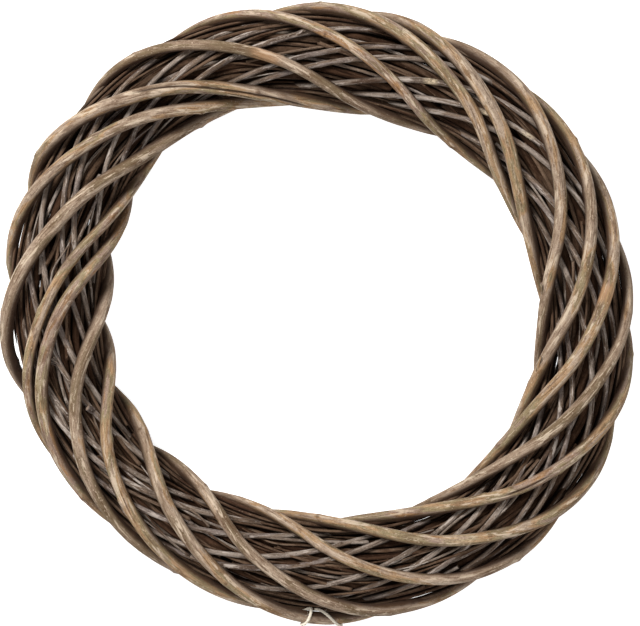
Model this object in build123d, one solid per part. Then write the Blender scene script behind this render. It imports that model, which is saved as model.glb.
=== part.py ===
from build123d import *
import math
import os

# A willow wreath frame: rods wound round one another in layers and bent into a ring.
# Their own spring holds them there.
# The ring lies flat with its front towards +Z, and the origin is the middle of its underside.
# "Around" is an angle round the ring: clockwise from the left, as seen from the front.
# "Lay" is an angle round the bundle of rods: 0 outer edge, 90 front, 180 inner edge, 270 back.
# Lengths are millimetres, and angles are degrees.

# ---- The ring ----
RING_RADIUS = 125.4
# The ring was bent by hand, so it swells: (swells round the ring, height of each, where one peaks).
OUT_OF_ROUND = ((1, 1.2, 81), (2, 4.2, 29), (3, 0.3, 41), (4, 1.1, 55), (5, 0.5, 59))
# How much farther out than tight the rods lie at the bundle's edges: on average, and in swells.
LOOSENESS = 2.4
LOOSE_SWELLS = ((1, 0.7, 8), (2, 0.5, 53), (3, 0.6, 7), (4, 0.9, 10))
LOOSENESS_OF_FACES = 0.4
LOOSENESS_OF_CORE = 0.5

# ---- The rods ----
CLEARANCE = 0.3
CORE_RODS = 4
CORE_ROD_DIAMETER = 5.0
MIDDLE_RODS = 10
MIDDLE_ROD_DIAMETER = 4.0
# A rod that goes once round the ring ends this far short of its own start.
END_GAP = 6.0
# How far round the ring each such rod starts from the one before, in runs, so that their ends don't meet.
END_SPREAD = 11

# ---- The counter-wound layer ----
COUNTER_PASSES = 10
COUNTER_CROSSINGS = 25
COUNTER_BUTT_DIAMETER = 3.0
COUNTER_TIP_DIAMETER = 2.4
COUNTER_WANDER = 3.0

# ---- Thin shoots along the ring's outer and inner edge, between the counter-wound and the outer layer ----
SHOOT_DIAMETER = 1.8
SHOOT_LAYS = (-13, 0, 13, 167, 180, 193)
SHOOT_WANDER = 2
SHOOT_SWELLS = 5

# ---- The outer layer ----
# Where its strands cross the middle of the front, once round the ring.
FRONT_CROSSINGS = (5, 22, 41, 53, 76, 101, 123, 132, 154, 171,
                   185, 201, 218, 238, 259, 285, 305, 324, 339, 357)
FIRST_OUTER_CROSSING = 1
# The two ends of each outer rod, in the order in which they follow one another round the bundle.
OUTER_ROD_DIAMETERS = ((6.7, 5.5), (5.6, 6.4), (6.8, 5.6), (4.8, 6.2), (4.8, 6.4), (6.6, 4.8), (7.0, 4.6))
# Where a strand stands off the bundle: (its front crossing, how far, the lay at which it stands off most).
BOWS = ((1, 3.4, -34), (13, 0.8, 18))
BOW_SHARPNESS = 4
# How far a strand lags along the inner edge, where it runs on beside the last one, in degrees of lay.
INNER_LAG = 5

# ---- Splices, where a rod ends beside the start of the next ----
SPLICE_OVERLAP = 50.0
SPLICE_EASE = 85.0
SPLICE_GAP = 1.0

# ---- The twine tied round one outer rod, where that rod passes the bottom of the ring ----
TWINE_DIAMETER = 1.4
TWINE_ROD = 2
TWINE_TURNS = 2.25
# The twine's way: (angle round the rod from its outer side towards the front, distance along the rod).
TWINE_ROUTE = ((-90, -5.5), (0, -5.5), (180, 4.0), (360, 8.5), (540, 6.0), (620, 8.6))
TWINE_STEP = 30

# ---- How a rod's curve is built ----
RUNS_PER_TURN = 14
RUNS_PER_LAP = 36
ARC_SHARE = 0.45
# An arc passes inside its corner. This share of the bend, added outwards, keeps the rod on its curve.
CORNER_PUSH = 0.119
GOLDEN_ANGLE = 137.5


def cos(angle):
    return math.cos(math.radians(angle))


def sin(angle):
    return math.sin(math.radians(angle))


def swell(terms, around):
    return sum(height * cos(swells * (around - peak)) for swells, height, peak in terms)


def ring_radius(around):
    """From the middle of the ring to the middle of the bundle."""
    return RING_RADIUS + swell(OUT_OF_ROUND, around)


def at_edges(lay):
    """1 along the outer and inner edge of the bundle, falling to 0 at its front and back."""
    return 1 - sin(lay) ** 4


def looseness(around, lay):
    """How much farther out than tight the rods lie."""
    share = LOOSENESS_OF_FACES + (1 - LOOSENESS_OF_FACES) * at_edges(lay)
    return share * max(0, LOOSENESS + swell(LOOSE_SWELLS, around))


def bundle_point(around, lay, reach, loose_share=1):
    """The point that lies `reach` from the middle of the bundle where the rods are tight."""
    reach += loose_share * looseness(around, lay)
    radius = ring_radius(around) + reach * cos(lay)
    return Vector(-radius * cos(around), radius * sin(around), reach * sin(lay))


def run_steps(last):
    """Steps along a rod, one run apart, with a half run at each end."""
    corners = max(2, round(last))
    return [0] + [last * (index + 0.5) / corners for index in range(corners)] + [last]


def arc_chain(points):
    """Short straight runs joined by tangent arcs, each as large as its two runs allow."""
    corners = [points[0]]
    for before, here, after in zip(points, points[1:], points[2:]):
        corners.append(here + (here * 2 - before - after) * CORNER_PUSH)
    corners.append(points[-1])
    runs = [end - start for start, end in zip(corners, corners[1:])]
    radii = []
    for run, following in zip(runs, runs[1:]):
        half_turn = math.radians(run.get_angle(following)) / 2
        radii.append(ARC_SHARE * min(run.length, following.length) / math.tan(half_turn))
    return FilletPolyline(*corners, radius=radii)


def round_rod(points, diameter, end_diameter=None):
    """A rod along the points, tapering evenly to the end diameter if one is given."""
    path = arc_chain(points)
    start = Plane(path @ 0, z_dir=path % 0) * Circle(diameter / 2)
    if end_diameter is None:
        return sweep(start, path=path)
    end = Plane(path @ 1, z_dir=path % 1) * Circle(end_diameter / 2)
    return sweep([start, end], path=path, multisection=True)


# ---- Layers, from the middle of the bundle outwards ----
CORE_REACH = (CORE_ROD_DIAMETER + CLEARANCE) / 2 / sin(180 / CORE_RODS)
CORE_OUTSIDE = CORE_REACH + CORE_ROD_DIAMETER / 2
MIDDLE_REACH = CORE_OUTSIDE + CLEARANCE + MIDDLE_ROD_DIAMETER / 2
MIDDLE_OUTSIDE = MIDDLE_REACH + MIDDLE_ROD_DIAMETER / 2
COUNTER_OUTSIDE = MIDDLE_OUTSIDE + CLEARANCE + COUNTER_BUTT_DIAMETER
SHOOT_REACH = COUNTER_OUTSIDE + CLEARANCE + SHOOT_DIAMETER / 2


def lap_rod(diameter, start, place):
    """A rod that goes once round the ring from `start`. place(around) is where its middle is."""
    run = 360 / RUNS_PER_LAP
    last = RUNS_PER_LAP - math.degrees(END_GAP / RING_RADIUS) / run
    return round_rod([place(start + run * step) for step in run_steps(last)], diameter)


def lap_starts(rods):
    return [360 / RUNS_PER_LAP * END_SPREAD * index for index in range(rods)]


def hidden_layer(rods, diameter, reach, direction, loose_share):
    """Rods that each go once round the bundle in one lap of the ring."""
    def place(first_lay):
        return lambda around: bundle_point(around, first_lay + direction * around, reach, loose_share)
    starts = lap_starts(rods)
    return [lap_rod(diameter, start, place(360 * index / rods)) for index, start in enumerate(starts)]


def edge_shoots():
    """Thin rods that stay at the bundle's outer or inner edge, under the outer layer."""
    def place(middle_lay):
        def point(around):
            lay = middle_lay + SHOOT_WANDER * sin(SHOOT_SWELLS * around)
            return bundle_point(around, lay, SHOOT_REACH)
        return point
    starts = lap_starts(len(SHOOT_LAYS))
    return [lap_rod(SHOOT_DIAMETER, start, place(lay)) for start, lay in zip(starts, SHOOT_LAYS)]


def shares(total, count):
    """The total as `count` whole numbers, as even as they can be, with the larger ones first."""
    return [total // count + (1 if index < total % count else 0) for index in range(count)]


class Winding:
    """A layer whose strands cross the front of the bundle again and again as they go round the ring."""

    def __init__(self, passes, places, direction, inside, edge_room=0, inner_lag=0, bows=()):
        self.passes = passes
        self.places = places
        self.direction = direction
        self.inside = inside
        self.edge_room = edge_room
        self.inner_lag = inner_lag
        self.bows = bows
        self.spacing = 360 / len(places)
        self.offset = sum(place - self.spacing * index for index, place in enumerate(places)) / len(places)

    def along_ring(self):
        """How far round the ring a strand goes in one turn round the bundle."""
        return self.passes * self.spacing

    def middle(self, first, turns, radius, shift):
        """A strand's middle, `turns` after it crosses the back on its way to the front crossing `first`."""
        crossing = (first + self.passes * math.floor(turns)) % len(self.places)
        drift = self.places[crossing] - self.spacing * crossing - self.offset
        even = self.offset + self.spacing * first + self.along_ring() * (turns - 0.5)
        around = even + drift * sin(180 * turns) ** 2 + shift
        lay = 270 + self.direction * 360 * turns
        lay -= self.inner_lag * sin(2 * lay) * (1 - cos(lay)) / 2
        reach = self.inside + CLEARANCE + radius + self.edge_room * at_edges(lay)
        for bowed, height, peak in self.bows:
            if bowed == crossing:
                reach += height * max(0, cos(lay - peak)) ** BOW_SHARPNESS
        return bundle_point(around, lay, reach)

    def rods(self, first_crossing, diameters):
        """The layer's rods. They follow one another along each strand until it closes on itself."""
        strands = math.gcd(self.passes, len(self.places))
        per_strand = self.passes // strands
        rods = []
        for strand in range(strands):
            first = first_crossing + strand * (self.passes + 1)
            ends = diameters[strand * per_strand:(strand + 1) * per_strand]
            for index, turns in enumerate(shares(len(self.places) // strands, per_strand)):
                start, end = ends[index]
                before = (ends[index - 1][1] + start) / 2 + SPLICE_GAP
                after = (end + ends[(index + 1) % per_strand][0]) / 2 + SPLICE_GAP
                rods.append(WoundRod(self, first, turns, start, end, before, after))
                first += self.passes * turns
        return rods


class WoundRod:
    """A rod of whole turns whose ends lie beside the ends of the rods before and after it."""

    def __init__(self, winding, first, turns, start, end, before, after):
        self.winding = winding
        self.first = first
        self.turns = turns
        self.start = start
        self.end = end
        reach = winding.inside + CLEARANCE + (start + end) / 4
        pitch = math.radians(winding.along_ring()) * RING_RADIUS
        self.turn_length = math.hypot(2 * math.pi * reach, pitch)
        self.overlap = SPLICE_OVERLAP / 2 / self.turn_length
        self.ease = SPLICE_EASE / self.turn_length
        # Rods side by side lie farther apart along the ring than across their own line.
        across = 2 * math.pi * reach / self.turn_length
        self.before = math.degrees(before / 2 / across / RING_RADIUS)
        self.after = math.degrees(after / 2 / across / RING_RADIUS)

    def diameter(self, turns):
        """The rod's thickness, which runs evenly from its start to its end."""
        share = (turns + self.overlap) / (self.turns + 2 * self.overlap)
        return self.start + (self.end - self.start) * share

    def middle(self, turns):
        """The rod's middle. Near each end it eases aside to lie beside its neighbour."""
        from_start = min(1, max(0, (turns - self.overlap) / self.ease))
        from_end = min(1, max(0, (self.turns - turns - self.overlap) / self.ease))
        shift = self.before * cos(90 * from_start) ** 2 - self.after * cos(90 * from_end) ** 2
        return self.winding.middle(self.first, turns, self.diameter(turns) / 2, shift)

    def solid(self):
        length = self.turns + 2 * self.overlap
        steps = run_steps(RUNS_PER_TURN * length)
        points = [self.middle(step / RUNS_PER_TURN - self.overlap) for step in steps]
        return round_rod(points, self.start, self.end)


def counter_layer():
    """Thinner rods wound the opposite way to the outer ones, which press them onto the layers below."""
    even = 360 / COUNTER_CROSSINGS
    places = [even * index + COUNTER_WANDER * sin(GOLDEN_ANGLE * index) for index in range(COUNTER_CROSSINGS)]
    winding = Winding(COUNTER_PASSES, places, -1, MIDDLE_OUTSIDE)
    return winding.rods(0, [(COUNTER_BUTT_DIAMETER, COUNTER_TIP_DIAMETER)] * COUNTER_PASSES)


def outer_layer():
    """The thick rods that show on the front, with one of them held clear of the layer below by the twine."""
    passes = len(OUTER_ROD_DIAMETERS)
    turns_before = sum(shares(len(FRONT_CROSSINGS), passes)[:TWINE_ROD - 1]) + math.floor(TWINE_TURNS)
    twine_crossing = (FIRST_OUTER_CROSSING + passes * turns_before) % len(FRONT_CROSSINGS)
    bows = BOWS + ((twine_crossing, TWINE_DIAMETER + CLEARANCE, 0),)
    edge_room = SHOOT_DIAMETER + CLEARANCE
    winding = Winding(passes, FRONT_CROSSINGS, 1, COUNTER_OUTSIDE, edge_room, INNER_LAG, bows)
    return winding.rods(FIRST_OUTER_CROSSING, OUTER_ROD_DIAMETERS)


def route_place(angle):
    """How far along its rod the twine is at an angle round it."""
    for (start_angle, start), (end_angle, end) in zip(TWINE_ROUTE, TWINE_ROUTE[1:]):
        if angle <= end_angle:
            return start + (end - start) * (angle - start_angle) / (end_angle - start_angle)
    return TWINE_ROUTE[-1][1]


def twine_tie(rod):
    """Two turns of twine that hug the rod where it passes the bottom of the ring."""
    points = []
    first_angle = TWINE_ROUTE[0][0]
    steps = round((TWINE_ROUTE[-1][0] - first_angle) / TWINE_STEP)
    for step in range(steps + 1):
        angle = first_angle + (TWINE_ROUTE[-1][0] - first_angle) * step / steps
        turns = TWINE_TURNS + route_place(angle) / rod.turn_length
        middle = rod.middle(turns)
        along = (rod.middle(turns + 0.01) - rod.middle(turns - 0.01)).normalized()
        outward = Vector(middle.X, middle.Y, 0).normalized()
        front = along.cross(outward).normalized()
        outward = front.cross(along)
        reach = (rod.diameter(turns) + TWINE_DIAMETER) / 2 + CLEARANCE
        points.append(middle + outward * (reach * cos(angle)) + front * (reach * sin(angle)))
    return round_rod(points, TWINE_DIAMETER)


def wreath():
    """Every piece by name, with the front up and the ring's middle at the origin."""
    outer = outer_layer()
    layers = {
        "core_rod": hidden_layer(CORE_RODS, CORE_ROD_DIAMETER, CORE_REACH, -1, LOOSENESS_OF_CORE),
        "middle_rod": hidden_layer(MIDDLE_RODS, MIDDLE_ROD_DIAMETER, MIDDLE_REACH, 1, 1),
        "counter_rod": [rod.solid() for rod in counter_layer()],
        "edge_shoot": edge_shoots(),
        "outer_rod": [rod.solid() for rod in outer],
    }
    pieces = {}
    for name, layer in layers.items():
        for number, solid in enumerate(layer, 1):
            pieces[f"{name}_{number}"] = solid
    pieces["twine_tie"] = twine_tie(outer[TWINE_ROD - 1])
    return pieces


pieces = wreath()
box = Compound(children=[Compound([solid]) for solid in pieces.values()]).bounding_box()
base = Vector(-box.center().X, -box.center().Y, -box.min.Z)
os.makedirs("parts", exist_ok=True)
for name, solid in pieces.items():
    export_step(solid.moved(Location(base)), f"parts/{name}.step")
print(f"overall {box.size.X:.1f} x {box.size.Y:.1f} x {box.size.Z:.1f} mm, {len(pieces)} pieces")
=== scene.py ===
import math

import bpy
import numpy as np
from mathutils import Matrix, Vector


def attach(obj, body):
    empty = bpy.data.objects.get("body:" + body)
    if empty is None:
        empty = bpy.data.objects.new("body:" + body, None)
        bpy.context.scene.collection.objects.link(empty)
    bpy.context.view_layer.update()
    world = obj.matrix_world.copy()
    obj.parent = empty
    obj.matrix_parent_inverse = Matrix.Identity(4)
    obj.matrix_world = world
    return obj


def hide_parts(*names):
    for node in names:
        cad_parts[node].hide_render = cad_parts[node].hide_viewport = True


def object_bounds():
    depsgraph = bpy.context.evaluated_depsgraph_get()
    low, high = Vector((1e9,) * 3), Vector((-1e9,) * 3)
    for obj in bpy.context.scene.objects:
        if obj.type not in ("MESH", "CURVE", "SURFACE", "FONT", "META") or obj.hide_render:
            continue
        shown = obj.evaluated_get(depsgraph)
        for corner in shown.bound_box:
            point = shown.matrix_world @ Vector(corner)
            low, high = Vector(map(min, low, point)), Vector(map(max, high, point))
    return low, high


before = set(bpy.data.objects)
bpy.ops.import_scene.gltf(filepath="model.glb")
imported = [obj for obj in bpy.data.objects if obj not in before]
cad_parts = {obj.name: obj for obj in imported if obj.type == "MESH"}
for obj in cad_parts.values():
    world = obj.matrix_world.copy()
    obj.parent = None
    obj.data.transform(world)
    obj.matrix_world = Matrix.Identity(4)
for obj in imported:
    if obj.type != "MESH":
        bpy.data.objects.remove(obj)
cad_low, cad_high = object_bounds()

# The looks of a willow wreath frame: each CAD rod is replaced by the same rod with its bark, knots, splits
# and cut ends, and thin shoots fill the bundle. The formulas of the rods' middles are the part's own.
# Lengths are millimetres until a mesh is made, and angles degrees. The floor and the lamps are in metres.
# "Around" goes clockwise round the ring from the left, seen from the front. "Lay" goes round the bundle of
# rods: 0 is its outer edge, 90 its front, 180 its inner edge, 270 its back.
MM = 0.001
GOLDEN_ANGLE = 137.5

# ---- The ring and its layers, as in the part ----
RING_RADIUS = 125.4
# Swells: how many in one lap, their height, and where the first one peaks.
OUT_OF_ROUND = ((1, 1.2, 81), (2, 4.2, 29), (3, 0.3, 41), (4, 1.1, 55), (5, 0.5, 59))
LOOSENESS = 2.4
LOOSE_SWELLS = ((1, 0.7, 8), (2, 0.5, 53), (3, 0.6, 7), (4, 0.9, 10))
LOOSENESS_OF_FACES = 0.4
CLEARANCE = 0.3
END_GAP = 6.0
END_SPREAD = 110
# Name, rods, diameter, direction round the bundle, share of the looseness.
HIDDEN_LAYERS = (("core_rod", 4, 5.0, -1, 0.5), ("middle_rod", 10, 4.0, 1, 1))
COUNTER_PASSES = 10
COUNTER_CROSSINGS = 25
COUNTER_DIAMETERS = (3.0, 2.4)
COUNTER_WANDER = 3.0
SHOOT_DIAMETER = 1.8
SHOOT_LAYS = (-13, 0, 13, 167, 180, 193)
SHOOT_WANDER = 2
SHOOT_SWELLS = 5
FRONT_CROSSINGS = (5, 22, 41, 53, 76, 101, 123, 132, 154, 171,
                   185, 201, 218, 238, 259, 285, 305, 324, 339, 357)
FIRST_OUTER_CROSSING = 1
OUTER_ROD_DIAMETERS = ((6.7, 5.5), (5.6, 6.4), (6.8, 5.6), (4.8, 6.2), (4.8, 6.4), (6.6, 4.8), (7.0, 4.6))
# Where strands bow out: number of the crossing, how far, and at what lay.
BOWS = ((1, 3.4, -34), (13, 0.8, 18))
BOW_SHARPNESS = 4
INNER_LAG = 5
SPLICE_OVERLAP = 50.0
SPLICE_EASE = 85.0
SPLICE_GAP = 1.0
TWINE_DIAMETER = 1.4
TWINE_ROD = 2
TWINE_TURNS = 2.25
TWINE_SECTIONS = 500
# Its angle round the rod, and where along the rod it is then.
TWINE_ROUTE = ((-90, -5.5), (0, -5.5), (180, 4.0), (360, 8.5), (540, 6.0), (620, 8.6))

# ---- What fills the bundle ----
# A swing is how far a shoot strays to either side, and its waves how many degrees of a sine wave it does
# that over. Fillers lie in the spaces between the middle rods: how many follow one another round the ring,
# and how much of its room each of them takes.
FILLERS_PER_SPACE = 3
FILLER_SPANS = (0.92, 1.0)
FILLER_DIAMETERS = (2.0, 2.6)
FILLER_TAPER = 0.3
FILLER_SWING = 1.5
FILLER_WAVES = (900, 1500)
FILLER_SECTIONS = 260
# Side shoots lie scattered among the counter-wound rods: how many start in each stretch of the ring (from,
# to, count), how far round it they run, and how many degrees of lay they turn in one degree of it.
TWIG_STRETCHES = ((0, 360, 84), (225, 315, 34), (335, 385, 16))
TWIG_SPANS = (18, 60)
TWIG_SLOPES = (-1.9, -1.2, -0.5, 0.4, 0.9, 1.6)
TWIG_DIAMETERS = (1.3, 2.3)
TWIG_TAPER = 0.6
TWIG_SWING = 5
TWIG_WAVES = (300, 500)
TWIG_SECTIONS_PER_DEGREE = 1.6
# Depth, as a share of the way from the hidden rods to the outside of the counter-wound ones.
TWIG_DEPTHS = (0.1, 0.75)
TWIG_DEPTH_SWING = 0.16
TWIG_DEPTH_WAVES = (200, 600)
# Each edge shoot has a partner nearer the middle of the bundle: how much nearer, how far round the bundle
# from it, and how much farther round the ring it starts.
PARTNER_DIAMETER = 1.2 * SHOOT_DIAMETER
PARTNER_STEP = 2.3
PARTNER_TURN = 6.5
PARTNER_START = 40
PARTNER_WANDER = 3
PARTNER_SWELLS = 7
# Edge twigs lie against the inside of the outer rods, or deeper, and close the slits at the edges: where
# each starts, how far it runs, its lay, and how much farther out than the edge shoots it lies.
EDGE_TWIGS = (
    (354, 190, -3, 1.8), (165, 179, 3, 1.8), (190, 345, -7, -4.2),
    (350, 200, 183, 1.4), (180, 185, 177, 1.4), (205, 345, 176, -4.6),
)
EDGE_TWIG_DIAMETER = 2.4
EDGE_TWIG_TIP_RADIUS = 0.15
EDGE_TWIG_BLUNTNESS = 8
EDGE_TWIG_WANDER = 3
EDGE_TWIG_SWELLS = 6
EDGE_TWIG_RISE = 0.3
EDGE_TWIG_RISES = 9
# Stubs of side shoots, and fraying where one was torn off:
# rod, turns, angle round the rod, lean from the rod's own direction, length, diameter, how many slivers.
# Turns count from where the rod crosses the back before its first crossing of the front.
STUBS = (
    ("outer_rod_2", 1.745, -30, 168, 8.5, 1.2, 1), ("outer_rod_1", 1.735, -12, 160, 7.0, 1.2, 1),
    ("counter_rod_2", 0.556, 12, 38, 4.6, 2.3, 1), ("counter_rod_10", 0.377, -36, 56, 5.2, 3.6, 1),
    ("counter_rod_10", 0.465, -45, 60, 5.2, 0.8, 9),
)
STUB_TAPER = 0.25
STUB_SECTIONS = 14
# How far slivers after the first stray from it: along the rod, round it, in lean, and in share of length.
SLIVER_STEP = 1.2
SLIVER_TURN = 45
SLIVER_LEAN = 40
SLIVER_STRETCH = 0.4
# Tanned or worn pale stretches: rod, turns at the middle, half the length, which of the two, how strongly.
PATCHES = (
    ("outer_rod_4", 0.53, 7, "tanned", 0.6), ("outer_rod_3", 1.46, 5, "tanned", 0.7),
    # The pale stretches on the counter-wound rods are painted highlights, with some wear, where the rods
    # pass under the outer rods.
    ("outer_rod_6", 1.54, 8, "rubbed_and_highlight", 0.5), ("counter_rod_7", 0.46, 3, "rubbed_and_highlight", 1.0),
    ("counter_rod_10", 1.47, 3, "rubbed_and_highlight", 1.0), ("counter_rod_10", 1.54, 3, "rubbed_and_highlight", 0.8),
)
# Dry splits: rod, turns where it starts and ends, angle round the rod, width in degrees, depth.
SPLITS = (("outer_rod_3", 0.42, 0.74, -24, 9, 0.36), ("outer_rod_5", 1.47, 1.6, -30, 9, 0.3))
SPLIT_FADE = 12
# How a split strays round the rod: by how many degrees, and the length over which it does so.
SPLIT_WANDERS = ((9, 23), (5, 7.3))
# Its raised lips: their height as a share of its depth, and their place in widths from its middle.
LIP_HEIGHT = 0.22
LIP_PLACE = 2.1

# ---- The bark's relief. Its heights, and a split's depth, are shares of the rod's radius ----
# Ridges: how many go round the rod, and their height.
OUTER_RIDGES = ((2, 0.03), (3, 0.018), (5, 0.012), (8, 0.009), (11, 0.006))
THIN_RIDGES = ((2, 0.035), (3, 0.022), (5, 0.016))
# Slow changes along a rod: the length over which each changes, and by how much. Ridges turn round the rod,
# grow and shrink, and the rod's girth varies.
RIDGE_TURN = (60, 90)
RIDGE_CHANGE = (35, 0.7)
GIRTH_CHANGE = (9, 0.015)
# Knots: least and greatest distance between two, height of the swelling, and height of the bud on it.
OUTER_KNOTS = ((26, 62), 0.07, 0.12)
COUNTER_KNOTS = ((22, 55), 0.12, 0.22)
HIDDEN_KNOTS = ((40, 90), 0.08, 0.1)
SHOOT_KNOTS = ((18, 45), 0.14, 0.25)
SIDE_SHOOT_KNOTS = ((14, 40), 0.14, 0.25)
STUB_KNOTS = ((14, 40), 0.1, 0.2)
KNOT_SIZES = (0.6, 1.3)
# The swelling, the bud and the scar behind it: lengths are in radii of the rod, widths in radians.
SWELLING_LENGTH = 0.9
SWELLING_ALL_ROUND = 0.55
SWELLING_AT_BUD = 0.45
BUD_LENGTH = 0.42
BUD_WIDTH = 0.5
SCAR_STEP = 0.25
SCAR_LENGTH = 0.34
SCAR_WIDTH = 1.1
SCAR_ALL_ROUND = 0.22
SCAR_AT_BUD = 0.3
# The length over which a rod strays from its middle line.
SWAY_LENGTH = 22
# Secateurs leave an end at a slant, and tearing at a steeper one: rise per distance from the middle.
CUT_SLANT = 0.35
TORN_SLANT = 0.9
# The middle of a cut face is a little sunk: its share of the radius, and its depth.
CUT_FACE = 0.55
CUT_FACE_DEPTH = 0.04

# ---- Seeds: the first of each kind, to which each piece adds its number ----
HIDDEN_SEED = 1
COUNTER_SEED = 31
SHOOT_SEED = 51
OUTER_SEED = 61
TWINE_SEED = 91
PARTNER_SEED = 101
EDGE_TWIG_SEED = 111
SIDE_SHOOT_SEED = 121
STUB_SEED = 401
SEEDS_PER_STUB = 20
FILLER_ROUTE_SEED = 5
TWIG_ROUTE_SEED = 7
SLIVER_SEED = 11
# How far apart two seeds lie in the bark's patterns.
GRAIN_STEP = 7.3

# ---- How fine the meshes are: distance between sections along a rod, and points round it ----
OUTER_SPACING, OUTER_SIDES = 0.9, 32
COUNTER_SPACING, COUNTER_SIDES = 1.1, 20
HIDDEN_SPACING, HIDDEN_SIDES = 2.2, 14
SHOOT_SIDES = 10

# ---- The camera: straight above, with the photograph's width at half the height of the ring ----
VIEW_WIDTH = 306.6
VIEW_CENTRE = (-0.96, -0.24)
CAMERA_DISTANCE = 1300
SENSOR = 36.0


def cos(angle):
    return np.cos(np.radians(angle))


def sin(angle):
    return np.sin(np.radians(angle))


def circle(sides):
    """Points round a circle of radius 1."""
    angles = np.arange(sides) * math.tau / sides
    return np.stack((np.cos(angles), np.sin(angles)), axis=-1)


def unit(vectors):
    return vectors / np.linalg.norm(vectors, axis=-1, keepdims=True)


# ---- Where the rods run ----
def swell(terms, around):
    return sum(height * cos(swells * (around - peak)) for swells, height, peak in terms)


def at_edges(lay):
    """1 along the outer and inner edge of the bundle, falling to 0 at its front and back."""
    return 1 - sin(lay) ** 4


def bundle_middle(around):
    """The middle of the bundle."""
    radius = RING_RADIUS + swell(OUT_OF_ROUND, around)
    return np.stack((-radius * cos(around), radius * sin(around), 0 * around), axis=-1)


def bundle_point(around, lay, reach, loose_share=1):
    """The point that lies `reach` from the middle of the bundle where the rods are tight."""
    loose = np.maximum(0, LOOSENESS + swell(LOOSE_SWELLS, around))
    loose *= LOOSENESS_OF_FACES + (1 - LOOSENESS_OF_FACES) * at_edges(lay)
    reach = (reach + loose_share * loose)[:, None]
    middle = bundle_middle(around)
    return middle + (unit(middle) * cos(lay)[:, None] + np.array((0, 0, 1)) * sin(lay)[:, None]) * reach


class Route:
    """A rod's middle line: points, their outward directions, and the rod's radius at each."""

    def __init__(self, points, inside, radius):
        steps = np.linalg.norm(np.diff(points, axis=0), axis=1)
        self.points = points
        self.length = np.concatenate(((0,), np.cumsum(steps)))
        self.along = unit(np.gradient(points, self.length, axis=0))
        outward = points - inside
        outward -= self.along * np.sum(outward * self.along, axis=1)[:, None]
        self.outward = unit(outward)
        self.side = np.cross(self.along, self.outward)
        self.radius = radius + 0 * self.length

    def box(self):
        """The lowest and highest corner of the plain rod."""
        reach = self.radius[:, None] * np.sqrt(1 - self.along ** 2)
        return np.min(self.points - reach, axis=0), np.max(self.points + reach, axis=0)


def lap_route(start, lay_at, reach, diameter, loose_share=1):
    """A rod that goes once round the ring and ends short of its own start."""
    last = 360 - math.degrees(END_GAP / RING_RADIUS)
    around = start + np.linspace(0, last, round(RING_RADIUS * math.tau / HIDDEN_SPACING))
    points = bundle_point(around, lay_at(around), reach + 0 * around, loose_share)
    return Route(points, bundle_middle(around), diameter / 2)


def hidden_routes():
    """Rods that each go once round the ring and once round the bundle."""
    routes = {}
    outside = 0
    for name, rods, diameter, direction, loose_share in HIDDEN_LAYERS:
        if outside:
            reach = outside + CLEARANCE + diameter / 2
        else:
            reach = (diameter + CLEARANCE) / 2 / sin(180 / rods)
        outside = reach + diameter / 2
        for index in range(rods):
            def lay_at(around):
                return 360 * index / rods + direction * around
            route = lap_route(END_SPREAD * index, lay_at, reach, diameter, loose_share)
            routes[f"{name}_{index + 1}"] = route
    return routes, outside


def shoot_routes(inside):
    """Thin rods that stay at the bundle's outer or inner edge, under the outer layer."""
    routes = {}
    for index, lay in enumerate(SHOOT_LAYS):
        def lay_at(around):
            return lay + SHOOT_WANDER * sin(SHOOT_SWELLS * around)
        reach = inside + CLEARANCE + SHOOT_DIAMETER / 2
        routes[f"edge_shoot_{index + 1}"] = lap_route(END_SPREAD * index, lay_at, reach, SHOOT_DIAMETER)
    return routes


def partner_routes(inside):
    """A second shoot beside each edge shoot, nearer the middle of the bundle."""
    routes = {}
    for index, lay in enumerate(SHOOT_LAYS):
        def lay_at(around):
            return lay + PARTNER_TURN + PARTNER_WANDER * sin(PARTNER_SWELLS * around + GOLDEN_ANGLE * index)
        start = END_SPREAD * index + PARTNER_START
        reach = inside + CLEARANCE + SHOOT_DIAMETER / 2 - PARTNER_STEP
        routes[f"edge_shoot_{index + 1}"] = lap_route(start, lay_at, reach, PARTNER_DIAMETER)
    return routes


def edge_twig_routes(inside):
    """Twigs along the bundle's outer and inner edge that close the slits there."""
    routes = []
    for start, span, lay, step in EDGE_TWIGS:
        around = start + np.linspace(0, span, round(span))
        share = np.linspace(0, 1, len(around))
        reach = inside + CLEARANCE + SHOOT_DIAMETER / 2 + step
        reach = reach + EDGE_TWIG_RISE * sin(EDGE_TWIG_RISES * around)
        points = bundle_point(around, lay + EDGE_TWIG_WANDER * sin(EDGE_TWIG_SWELLS * around), reach)
        radius = EDGE_TWIG_DIAMETER / 2 * np.sqrt(1 - (2 * share - 1) ** EDGE_TWIG_BLUNTNESS)
        routes.append(Route(points, bundle_middle(around), np.maximum(radius, EDGE_TWIG_TIP_RADIUS)))
    return routes


def filler_routes(rng, outside):
    """Side shoots that lie in the spaces between the middle rods and run on with them."""
    _, rods, diameter, direction, _ = HIDDEN_LAYERS[-1]
    reach = outside - diameter / 2
    room = 360 / FILLERS_PER_SPACE
    share = np.linspace(0, 1, FILLER_SECTIONS)
    routes = []
    for space in range(rods):
        for shoot in range(FILLERS_PER_SPACE):
            span = room * rng.uniform(*FILLER_SPANS)
            around = GOLDEN_ANGLE * space + room * shoot + np.linspace(0, span, FILLER_SECTIONS)
            lay = 360 / rods * (space + 0.5) + direction * around
            lay += FILLER_SWING * sin(rng.uniform(*FILLER_WAVES) * share)
            radius = rng.uniform(*FILLER_DIAMETERS) / 2 * (1 - FILLER_TAPER * share)
            points = bundle_point(around, lay, reach + 0 * around)
            routes.append(Route(points, bundle_middle(around), radius))
    return routes


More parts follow.
